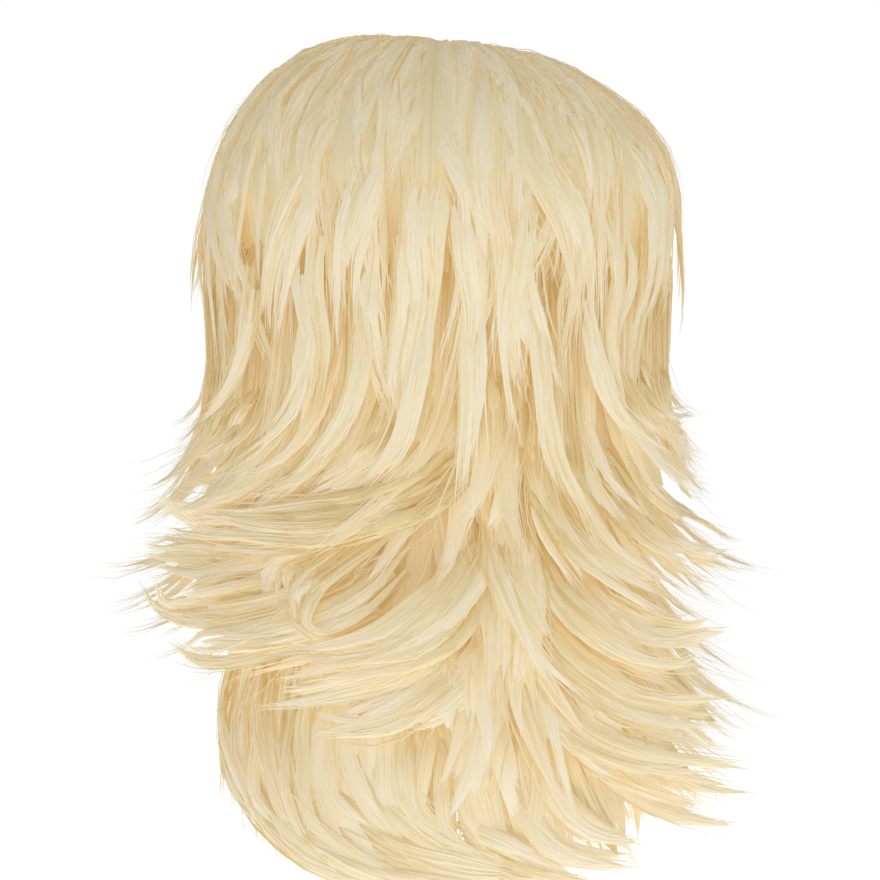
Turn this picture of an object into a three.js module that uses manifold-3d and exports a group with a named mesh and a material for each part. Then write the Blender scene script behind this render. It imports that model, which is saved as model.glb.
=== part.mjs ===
// Layered wig: a hollow stretch cap and six layers of hair, each layer a sewn band with its locks fused on.
// Millimetres, +Z up. The wearer faces -Y, so the flicked back layers face +Y. Origin: inside apex of the cap.
// A lock is laid out in hair space (azimuth from the back, run down from the crown, lift off the cap).
import * as THREE from 'three';
import Module from 'manifold-3d';

const wasm = await Module();
wasm.setup();

// Cap: half width, half length and half height of its outside, and its wall.
const CAP = { halfX: 79, halfY: 99, halfZ: 94, centreZ: -92, wall: 2 };
const CAP_COLUMNS = 36;
const CAP_ROWS = 7;
// Rim height round the cap, from the nape to the forehead.
const RIM_AZ = [0, 40, 80, 105, 130, 180];
const RIM_Z = [-160, -158, -105, -125, -80, -58];

const QUARTER = 140;    // run from the crown to the widest level
const COMB = 120;       // radius that turns a sideways step into an angle
const SEAT = 0.45;      // space between cap and hair
const RAMP = 25;        // run over which an outer layer climbs on to an inner root
const LEAD = 6;         // the climb ends this far above the inner root
const FADE = 24;        // arc over which a layer's side edge runs out
const STEPS = 60;       // steps along a lock's path
const CLEAR = 0.8;      // underside of the locks above the underside of their band

// Outer surface of the crown layer: lift by run, and how much fuller it is at the back.
const TOP_RUN = [0, 30, 48, 62, 73, 83, 98, 111, 117, 129, 140, 152, 400];
const TOP_LIFT = [24, 29.5, 36.6, 39.7, 42.3, 45, 46.8, 45.4, 43.4, 41, 38, 36.5, 36.5];
const REAR = 14;
const FRONT = 20;       // how much flatter it lies over the forehead
const SIDE = 5;         // how much fuller its top is on the wearer's left
const CROWN_END = 66;  // run where the crown's backing stops
const CROWN_INSET = 4;  // backing below the crown's outer surface

// Layers from the inside out. gap: space kept over the layer; root: run of the sewn band; reach: half its arc; middle: its centre azimuth;
// cover: lock width over lock spacing; sections: runs where a straight lock needs a section.
// Lock columns: azimuth, length, lean, bend (straight part), sweep (sideways turn), flick (outward turn).
const LAYERS = [
  {
    name: 'nape_hair', thick: 9, gap: 1.5, root: 132, reach: 66, middle: 6, count: 9, cover: 1.68, sections: [142, 235],
    locks: [
      [-48, 256, -9, 128, -60, 46],
      [-34, 272, -8, 150, -50, 34],
      [-20, 286, -4, 170, -26, 14],
      [0, 300, -1, 190, -10, 0],
      [20, 292, 4, 175, -24, -6],
      [36, 280, 9, 160, -36, -6],
      [48, 272, 10, 152, -44, -4],
      [60, 258, 9, 146, -46, 2],
    ],
  },
  {
    name: 'lower_tier', thick: 8, gap: 1.8, root: 112, reach: 94, middle: 0, count: 10, cover: 0.97, sections: [126, 142, 235],
    locks: [
      [-84, 206, 0, 118, -20, 74],
      [-66, 262, -2, 138, -56, 70],
      [-44, 262, -3, 150, -68, 52],
      [-26, 240, -3, 152, -58, 34],
      [-10, 220, -1, 150, -36, 22],
      [0, 218, 1, 148, 50, 22],
      [18, 226, 3, 144, 70, 30],
      [44, 230, 4, 136, 70, 54],
      [66, 226, 3, 126, 54, 76],
      [84, 196, 0, 108, 20, 72],
    ],
  },
  {
    name: 'middle_tier', thick: 8, gap: 1.5, root: 86, reach: 126, middle: 0, count: 12, cover: 0.96, sections: [106, 126],
    locks: [
      [-116, 168, 0, 98, 14, 46],
      [-98, 200, 0, 110, -16, 72],
      [-80, 226, 0, 120, -48, 80],
      [-48, 232, -4, 134, -70, 54],
      [-28, 224, -4, 140, -60, 34],
      [-12, 214, 0, 146, -30, 24],
      [-4, 220, 2, 144, 74, 24],
      [16, 230, 4, 140, 90, 32],
      [50, 236, 5, 130, 76, 62],
      [82, 238, 2, 120, 48, 92],
      [99, 206, 0, 108, 16, 78],
      [116, 168, 0, 98, -16, 46],
    ],
  },
  {
    name: 'upper_tier', thick: 9, gap: 1.2, root: 58, reach: 141, middle: 0, count: 13, cover: 0.97, sections: [80, 106, 126],
    locks: [
      [-132, 142, 0, 80, 34, 40],
      [-112, 156, -1, 96, 14, 40],
      [-92, 182, 0, 104, -24, 62],
      [-64, 214, -3, 118, -60, 54],
      [-30, 218, -4, 130, -62, 34],
      [-14, 214, -2, 138, -40, 26],
      [-6, 220, 1, 138, 74, 26],
      [14, 228, 4, 132, 84, 32],
      [60, 224, 4, 114, 70, 60],
      [92, 190, 0, 112, 30, 74],
      [112, 148, 2, 66, -12, 40],
      [132, 142, 0, 80, -38, 42],
    ],
  },
  {
    name: 'fringe', thick: 8, gap: 3, root: 34, reach: 70, middle: 180, count: 7, cover: 0.98, sections: [46, 60],
    locks: [
      [120, 104, -6, 40, 30, 8],
      [150, 116, -2, 50, 14, 10],
      [180, 118, 0, 52, -4, 4],
      [210, 116, 4, 50, -16, 12],
      [240, 104, 8, 40, -32, 8],
    ],
  },
  {
    name: 'crown_hair', thick: 11, gap: 0, root: 14, reach: 180, middle: 0, count: 15, cover: 1.12, sections: [35, 62, 88, 107],
    locks: [
      [-180, 94, 0, 60, 4, 10],
      [-142, 106, -4, 70, 14, 10],
      [-105, 140, 0, 110, 8, 2],
      [-87, 146, 0, 110, -6, 0],
      [-52, 168, -5, 110, -10, 4],
      [-22, 192, -3, 110, -6, 4],
      [6, 186, 1, 110, 6, 4],
      [36, 188, 5, 110, 8, 4],
      [68, 160, 2, 110, 8, 2],
      [87, 146, 0, 110, 6, 0],
      [105, 140, 0, 110, -8, 2],
      [142, 106, 4, 70, -14, 10],
      [180, 94, 0, 60, -4, 10],
    ],
  },
];
const CROWN = LAYERS.length - 1;

// Lock section: across (-1 to 1) and up (0 to 1).
const SECTION = [[-1, 0.2], [0, 0], [1, 0.2], [0.5, 0.94], [-0.5, 0.94]];
const BAND_DEPTH = 10;
const BAND_PITCH = 9;

const rad = THREE.MathUtils.degToRad;
const deg = THREE.MathUtils.radToDeg;

function smooth(value) {
  const t = Math.min(Math.max(value, 0), 1);
  return t * t * (3 - 2 * t);
}

function lookUp(x, xs, ys) {
  if (x <= xs[0]) return ys[0];
  for (let i = 1; i < xs.length; i += 1) {
    if (x <= xs[i]) return ys[i - 1] + (ys[i] - ys[i - 1]) * (x - xs[i - 1]) / (xs[i] - xs[i - 1]);
  }
  return ys[ys.length - 1];
}

// A fixed number in -1 to 1 for each lock, so that no two locks are quite alike.
function vary(layer, index, what) {
  const wave = Math.sin(12.9898 * (index + 1) + 78.233 * (layer + 1) + 37.719 * what) * 43758.5453;
  return 2 * (wave - Math.floor(wave)) - 1;
}

function capRadius(az) {
  return 1 / Math.hypot(Math.sin(rad(az)) / CAP.halfX, Math.cos(rad(az)) / CAP.halfY);
}

function flare(run) {
  return 30 * smooth((run - QUARTER - 90) / 200);
}

// Hair space to the shared frame: over the dome first, then straight down.
function form(az, run, lift) {
  const angle = Math.min(Math.max(run / QUARTER, 0), 1) * Math.PI / 2;
  const drop = Math.max(run - QUARTER, 0);
  const waist = 3 * Math.sin(Math.PI * Math.min(drop / 170, 1)) ** 2;
  const radius = (capRadius(az) + lift) * Math.sin(angle) - waist;
  const z = CAP.centreZ + (CAP.halfZ + lift) * Math.cos(angle) - drop;
  return new THREE.Vector3(radius * Math.sin(rad(az)), radius * Math.cos(rad(az)), z);
}

// Space that a layer takes up over the cap.
function room(layer, az, run) {
  const { thick, gap, root, reach, middle } = LAYERS[layer];
  const off = Math.abs(((az - middle + 540) % 360 + 360) % 360 - 180);
  const inArc = 1 - smooth((off - reach) / FADE);
  const climbed = Math.min(Math.max((run - root + RAMP + LEAD) / RAMP, 0), 1);
  return (thick + gap) * inArc * climbed;
}

function stack(layer, az, run) {
  let lift = SEAT;
  for (let under = 0; under < layer; under += 1) lift += room(under, az, run);
  return lift + flare(run);
}

function crownTop(az, run) {
  const rear = REAR * Math.max(Math.cos(rad(az)), 0) ** 2 * smooth((run - 30) / 80);
  const front = FRONT * Math.max(-Math.cos(rad(az)), 0) ** 2 * smooth((run - 20) / 60);
  const side = SIDE * Math.sin(rad(az)) * smooth(run / 40) * smooth((100 - run) / 40);
  return lookUp(run, TOP_RUN, TOP_LIFT) + rear - front + side;
}

// Lift of a layer's underside and its thickness.
function seatOf(layer, az, run) {
  const under = stack(layer, az, run) + CLEAR;
  const thick = LAYERS[layer].thick - CLEAR;
  if (layer !== CROWN) return { under, thick };
  const top = crownTop(az, run);
  const low = Math.max(under, top - thick);
  return { under: low, thick: Math.max(top - low, 5) };
}

// The locks of a layer, evenly spaced, with their columns read from the table.
function lockRows(layer) {
  const { locks, count } = LAYERS[layer];
  const first = locks[0][0];
  const last = locks[locks.length - 1][0];
  const ring = last - first >= 360;
  const spacing = (last - first) / (ring ? count : count - 1);
  const keys = locks.map((row) => row[0]);
  const rows = [];
  for (let i = 0; i < count; i += 1) {
    const az = first + spacing * i;
    const [length, lean, bend, sweep, flick] = [1, 2, 3, 4, 5].map(
      (column) => lookUp(az, keys, locks.map((row) => row[column])),
    );
    rows.push({
      az,
      length: length * (1 + 0.03 * vary(layer, i, 1)),
      lean: lean + 1.5 * vary(layer, i, 2),
      bend,
      sweep: sweep * (1 + 0.1 * vary(layer, i, 3)),
      flick: flick * (1 + 0.1 * vary(layer, i, 4)),
      half: rad(spacing) * COMB * LAYERS[layer].cover / 2,
    });
  }
  return rows;
}

// Heading and pitch turn from the bend on; stepping along them gives the path in hair space.
function lockPath(layer, row) {
  const path = [];
  const step = row.length / STEPS;
  let az = row.az;
  let run = LAYERS[layer].root;
  let rise = 0;
  for (let i = 0; i <= STEPS; i += 1) {
    const turn = Math.max((i * step - row.bend) / (row.length - row.bend), 0) ** 1.4;
    const head = rad(row.lean + row.sweep * turn);
    const pitch = rad(row.flick * turn);
    if (i > 0) {
      az += deg(Math.sin(head) * Math.cos(pitch) * step / COMB);
      run += Math.cos(head) * Math.cos(pitch) * step;
      rise += Math.sin(pitch) * step;
    }
    path.push({ az, run, rise, head, pitch });
  }
  return path;
}

function pathAt(path, t) {
  const low = Math.min(Math.floor(t * STEPS), STEPS - 1);
  const mix = (key) => THREE.MathUtils.lerp(path[low][key], path[low + 1][key], t * STEPS - low);
  return { az: mix('az'), run: mix('run'), rise: mix('rise'), head: mix('head'), pitch: mix('pitch') };
}

function lockSolid(layer, row) {
  const path = lockPath(layer, row);
  const bent = row.bend / row.length;
  const stations = [0];
  for (const run of LAYERS[layer].sections) {
    const t = (run - LAYERS[layer].root) / (row.length * Math.cos(rad(row.lean)));
    if (t < bent - 0.03) stations.push(t);
  }
  [0, 0.3, 0.58, 0.82, 1].forEach((part) => stations.push(bent + part * (1 - bent)));
  const rings = stations.map((t) => {
    const at = pathAt(path, t);
    const taper = Math.sqrt(Math.max(1 - Math.max((t - 0.55) / 0.45, 0) ** 2.6, 0.006));
    const half = row.half * taper;
    const depth = 0.35 + 0.65 * taper;
    return SECTION.map(([across, up]) => {
      const az = at.az + deg(across * half * Math.cos(at.head) / COMB);
      const run = at.run - across * half * Math.sin(at.head);
      const { under, thick } = seatOf(layer, az, run);
      const tall = up * thick * depth;
      const back = tall * Math.sin(at.pitch);
      return form(
        az - deg(back * Math.sin(at.head) / COMB),
        run - back * Math.cos(at.head),
        under + at.rise + tall * Math.cos(at.pitch),
      );
    });
  });
  return loft(rings);
}

// The sewn band at a layer's root.
function bandSolid(layer) {
  const { root, thick, locks } = LAYERS[layer];
  const first = locks[0][0] - 5;
  const last = locks[locks.length - 1][0] + 5;
  const count = Math.round((last - first) / BAND_PITCH);
  const rings = [];
  for (let i = 0; i <= count; i += 1) {
    const az = first + (last - first) * i / count;
    const corner = (run, up) => form(az, run, stack(layer, az, run) + up * thick);
    rings.push([corner(root - 2, 0), corner(root + BAND_DEPTH, 0), corner(root + BAND_DEPTH, 0.7), corner(root - 2, 0.6)]);
  }
  return loft(rings);
}

// Skin over rings of points, with a flat fan at both ends.
function loft(rings) {
  const size = rings[0].length;
  const points = rings.flat();
  const faces = [];
  for (let i = 0; i + 1 < rings.length; i += 1) {
    for (let j = 0; j < size; j += 1) {
      const a = i * size + j;
      const b = i * size + (j + 1) % size;
      faces.push([a, b, b + size], [a, b + size, a + size]);
    }
  }
  const end = (rings.length - 1) * size;
  for (let j = 1; j + 1 < size; j += 1) {
    faces.push([0, j + 1, j], [end, end + j, end + j + 1]);
  }
  return solid(points, faces);
}

// A dome with an outside and an inside, each a fan at the top and a grid down to the rim.
function dome(point, columns, rows) {
  const points = [];
  const faces = [];
  const start = [0, 1 + columns * rows];
  for (const side of [0, 1]) {
    points.push(point(side, 0, 0));
    for (let i = 1; i <= rows; i += 1) {
      for (let j = 0; j < columns; j += 1) points.push(point(side, 360 * j / columns, i / rows));
    }
    const id = (i, j) => start[side] + 1 + (i - 1) * columns + j % columns;
    const face = (a, b, c) => faces.push(side ? [a, c, b] : [a, b, c]);
    for (let j = 0; j < columns; j += 1) {
      face(start[side], id(1, j), id(1, j + 1));
      for (let i = 1; i < rows; i += 1) {
        face(id(i, j), id(i + 1, j), id(i + 1, j + 1));
        face(id(i, j), id(i + 1, j + 1), id(i, j + 1));
      }
    }
  }
  const rim = (side, j) => start[side] + 1 + (rows - 1) * columns + j % columns;
  for (let j = 0; j < columns; j += 1) {
    faces.push([rim(0, j), rim(1, j), rim(1, j + 1)], [rim(0, j), rim(1, j + 1), rim(0, j + 1)]);
  }
  return solid(points, faces);
}

function solid(points, faces) {
  const at = (face) => face.map((index) => points[index]);
  const volume = faces.reduce((sum, face) => {
    const [a, b, c] = at(face);
    return sum + a.dot(b.clone().cross(c));
  }, 0);
  const turned = volume < 0 ? faces.map(([a, b, c]) => [a, c, b]) : faces;
  return new wasm.Manifold(new wasm.Mesh({
    numProp: 3,
    vertProperties: new Float32Array(points.flatMap((point) => point.toArray())),
    triVerts: new Uint32Array(turned.flat()),
  }));
}

function capSolid() {
  const point = (side, az, t) => {
    const off = Math.abs((az + 180) % 360 - 180);
    const rim = lookUp(off, RIM_AZ, RIM_Z);
    const angle = t * Math.acos((rim - CAP.centreZ) / CAP.halfZ);
    const inset = side * CAP.wall;
    return new THREE.Vector3(
      (CAP.halfX - inset) * Math.sin(angle) * Math.sin(rad(az)),
      (CAP.halfY - inset) * Math.sin(angle) * Math.cos(rad(az)),
      CAP.centreZ + (CAP.halfZ - inset) * Math.cos(angle),
    );
  };
  return dome(point, CAP_COLUMNS, CAP_ROWS);
}

function crownBacking() {
  const point = (side, az, t) => {
    const run = t * CROWN_END;
    const under = stack(CROWN, az, run) + (t && CLEAR);
    const top = THREE.MathUtils.lerp(crownTop(az, run) - CROWN_INSET, under + 3, smooth((run - 40) / 30));
    return form(az, run, side ? under : top);
  };
  return dome(point, 22, 3);
}

function layerSolid(layer) {
  let whole = layer === CROWN ? crownBacking() : bandSolid(layer);
  for (const row of lockRows(layer)) whole = whole.add(lockSolid(layer, row));
  return whole;
}

function meshOf(name, body, material) {
  const { vertProperties, triVerts } = body.getMesh();
  const geometry = new THREE.BufferGeometry();
  geometry.setAttribute('position', new THREE.BufferAttribute(new Float32Array(vertProperties), 3));
  geometry.setIndex(new THREE.BufferAttribute(new Uint32Array(triVerts), 1));
  geometry.computeVertexNormals();
  const mesh = new THREE.Mesh(geometry, material);
  mesh.name = name;
  return mesh;
}

const netting = new THREE.MeshStandardMaterial({ name: 'cap_net', color: 0xd8c3a0, roughness: 0.9 });
const hair = new THREE.MeshStandardMaterial({ name: 'hair_fibre', color: 0xe4d2ab, roughness: 0.5 });

const wig = new THREE.Group();
wig.name = 'wig';
wig.add(meshOf('wig_cap', capSolid(), netting));
LAYERS.forEach((layer, index) => wig.add(meshOf(layer.name, layerSolid(index), hair)));

export default wig;
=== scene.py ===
"""Layered blonde wig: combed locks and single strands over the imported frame.

Metres, +Z up, the wearer faces -Y. Hair is laid out in hair space, in millimetres and degrees: azimuth from
the back, run down from the crown, lift off the cap. form() carries hair space into the shared frame.
"""

import math

import bpy
import numpy as np
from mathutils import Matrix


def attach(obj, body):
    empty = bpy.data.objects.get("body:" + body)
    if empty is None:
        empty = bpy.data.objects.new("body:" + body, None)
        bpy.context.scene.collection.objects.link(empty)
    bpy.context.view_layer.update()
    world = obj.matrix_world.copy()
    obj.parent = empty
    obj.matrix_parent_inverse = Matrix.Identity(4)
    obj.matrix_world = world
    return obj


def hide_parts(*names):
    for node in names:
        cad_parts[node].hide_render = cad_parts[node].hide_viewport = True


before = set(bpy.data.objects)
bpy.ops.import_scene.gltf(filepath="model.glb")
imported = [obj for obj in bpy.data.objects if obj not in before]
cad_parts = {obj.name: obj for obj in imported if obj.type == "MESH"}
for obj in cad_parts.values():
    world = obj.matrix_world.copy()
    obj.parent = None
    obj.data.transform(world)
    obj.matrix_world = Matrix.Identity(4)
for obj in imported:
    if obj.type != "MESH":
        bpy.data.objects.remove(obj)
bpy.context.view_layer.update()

MM = 0.001
BODY = "root"
UV_MAP = "OFBake"

# Camera: level behind the wearer, with the photograph's scale on the plane through the middle of the head.
PHOTO_MM_PER_PIXEL = 0.48
PHOTO_SIDE = 880
CAMERA_DISTANCE = 2.2
CAMERA_X = 0.0014
CAMERA_Z = -0.167
SENSOR = 36.0

# Hair space, with the same sizes as the part's source: the cap's half axes and the height of its centre.
CAP_HALF_X = 79.0
CAP_HALF_Y = 99.0
CAP_HALF_Z = 94.0
CAP_CENTRE_Z = -92.0
# Run over the dome, and the radius that turns millimetres across the hair into azimuth.
QUARTER = 140.0
COMB = 120.0
# Below the dome: the waist, its depth and run, and the flare over the shoulders, its depth, start and run.
WAIST = 3.0
WAIST_RUN = 170.0
FLARE = 30.0
FLARE_START = 90.0
FLARE_RUN = 200.0
# Lift of the first layer, how a layer climbs at its root, fades past its arc and clears the one below.
SEAT = 0.45
RAMP = 25.0
LEAD = 6.0
FADE = 24.0
CLEAR = 0.8
# The crown's outer lift by run. The rear and one side add to it and the front takes off: amount, start (of
# the side, its end) and run.
TOP_RUN = (0, 30, 48, 62, 73, 83, 98, 111, 117, 129, 140, 152, 400)
TOP_LIFT = (24, 29.5, 36.6, 39.7, 42.3, 45, 46.8, 45.4, 43.4, 41, 38, 36.5, 36.5)
REAR = (14.0, 30, 80)
FRONT = (20.0, 20, 60)
SIDE = (5.0, 100, 40)
CROWN_THINNEST = 5.0
# Unevenness of a layer's locks: shares of length and of sweep and flick, and degrees of lean.
LENGTH_UNEVEN = 0.03
TURN_UNEVEN = 0.1
LEAN_UNEVEN = 1.5
# Steps along a path, and how its turn eases in, where it draws in and where its wave has grown.
STEPS = 60
TURN_EASE = 1.4
PULL_FROM = 0.42
WAVE_GROWN = 0.3

# Layers from the inside out. Lock columns: azimuth, length, lean, bend, sweep, flick.
COLUMNS = ("az", "length", "lean", "bend", "sweep", "flick")
LAYERS = (
    dict(name="nape_hair", thick=9, gap=1.5, root=132, reach=66, middle=6, count=9, cover=1.68, locks=(
        (-48, 256, -9, 128, -60, 46), (-34, 272, -8, 150, -50, 34),
        (-20, 286, -4, 170, -26, 14), (0, 300, -1, 190, -10, 0),
        (20, 292, 4, 175, -24, -6), (36, 280, 9, 160, -36, -6),
        (48, 272, 10, 152, -44, -4), (60, 258, 9, 146, -46, 2),
    )),
    dict(name="lower_tier", thick=8, gap=1.8, root=112, reach=94, middle=0, count=10, cover=0.97, locks=(
        (-84, 206, 0, 118, -20, 74), (-66, 262, -2, 138, -56, 70),
        (-44, 262, -3, 150, -68, 52), (-26, 240, -3, 152, -58, 34),
        (-10, 220, -1, 150, -36, 22), (0, 218, 1, 148, 50, 22),
        (18, 226, 3, 144, 70, 30), (44, 230, 4, 136, 70, 54),
        (66, 226, 3, 126, 54, 76), (84, 196, 0, 108, 20, 72),
    )),
    dict(name="middle_tier", thick=8, gap=1.5, root=86, reach=126, middle=0, count=12, cover=0.96, locks=(
        (-116, 168, 0, 98, 14, 46), (-98, 200, 0, 110, -16, 72),
        (-80, 226, 0, 120, -48, 80), (-48, 232, -4, 134, -70, 54),
        (-28, 224, -4, 140, -60, 34), (-12, 214, 0, 146, -30, 24),
        (-4, 220, 2, 144, 74, 24), (16, 230, 4, 140, 90, 32),
        (50, 236, 5, 130, 76, 62), (82, 238, 2, 120, 48, 92),
        (99, 206, 0, 108, 16, 78), (116, 168, 0, 98, -16, 46),
    )),
    dict(name="upper_tier", thick=9, gap=1.2, root=58, reach=141, middle=0, count=13, cover=0.97, locks=(
        (-132, 142, 0, 80, 34, 40), (-112, 156, -1, 96, 14, 40),
        (-92, 182, 0, 104, -24, 62), (-64, 214, -3, 118, -60, 54),
        (-30, 218, -4, 130, -62, 34), (-14, 214, -2, 138, -40, 26),
        (-6, 220, 1, 138, 74, 26), (14, 228, 4, 132, 84, 32),
        (60, 224, 4, 114, 70, 60), (92, 190, 0, 112, 30, 74),
        (112, 148, 2, 66, -12, 40), (132, 142, 0, 80, -38, 42),
    )),
    dict(name="fringe", thick=8, gap=3, root=34, reach=70, middle=180, count=7, cover=0.98, locks=(
        (120, 104, -6, 40, 30, 8), (150, 116, -2, 50, 14, 10),
        (180, 118, 0, 52, -4, 4), (210, 116, 4, 50, -16, 12),
        (240, 104, 8, 40, -32, 8),
    )),
    dict(name="crown_hair", thick=11, gap=0, root=14, reach=180, middle=0, count=15, cover=1.12, locks=(
        (-180, 94, 0, 60, 4, 10), (-142, 106, -4, 70, 14, 10),
        (-105, 140, 0, 110, 8, 2), (-87, 146, 0, 110, -6, 0),
        (-52, 168, -5, 110, -10, 4), (-22, 192, -3, 110, -6, 4),
        (6, 186, 1, 110, 6, 4), (36, 188, 5, 110, 8, 4),
        (68, 160, 2, 110, 8, 2), (87, 146, 0, 110, 6, 0),
        (105, 140, 0, 110, -8, 2), (142, 106, 4, 70, -14, 10),
        (180, 94, 0, 60, -4, 10),
    )),
)
# The outermost layer, and the tier that shows below it.
CROWN = len(LAYERS) - 1
UPPER = CROWN - 2

# How each layer is combed:
# leaves, strands, between: leaves in a lock, strands on a leaf, strands between leaves
# stray, wave, pull: how far a leaf strays from its lock, degrees of its wave, its draw to the lock's middle
# taper, point: where a leaf starts to narrow, and how late it comes to its point
# lie, under: lift of the strands on a leaf, and the share of them on its underside
# core: level and end of each lock's core, golden as painted shade in the gaps
# warm, ahead: shift to the warmer tints, and how much paler a leaf gets towards its tip
# bands, broad, uneven, sunk: leaves in a listed band, their width, unequal lengths and sunken roots
# proud, fly, loose: rise of the palest leaves, share of loose strands that stand off, and their spread
# pieces: meshes that hold the strands
TIER = dict(
    leaves=7, strands=14, between=300, stray=1.0, wave=8, pull=4, taper=0.45, point=1.4, lie=0.05,
    under=0.2, core=(0.32, 0.86), warm=0.12, ahead=0.7, bands=9, broad=(0.22, 0.42), uneven=0.45, sunk=5,
    proud=0.2, fly=0.1, loose=2.2, pieces=1,
)
COMBED = {
    "nape_hair": dict(
        TIER, leaves=13, strands=15, between=600, stray=0.6, wave=5, pull=0, taper=0.55, point=1.3,
        under=0.4, core=(0.32, 0.95), warm=0.1, ahead=0.52, uneven=0.25, sunk=2, fly=0.0, loose=1.2,
    ),
    "lower_tier": TIER,
    "middle_tier": TIER,
    # The upper tier's warmer root half, paler to the tip, is painted shade under the crown's tips.
    "upper_tier": dict(TIER, warm=0.28, ahead=1.2),
    "fringe": dict(
        TIER, leaves=12, strands=13, between=200, stray=0.8, wave=6, pull=2, taper=0.55, lie=0.06,
        under=0.3, core=(0.3, 0.7), warm=0.0, ahead=0.2,
    ),
    "crown_hair": dict(
        TIER, leaves=18, strands=13, between=600, wave=13, pull=0, taper=0.25, point=1.1, lie=0.08,
        under=0.1, core=(0.0, 0.5), warm=0.0, ahead=0.2, bands=5, broad=(0.4, 0.65), uneven=0.32, sunk=1,
        proud=0.1, fly=0.4, pieces=2,
    ),
}
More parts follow.
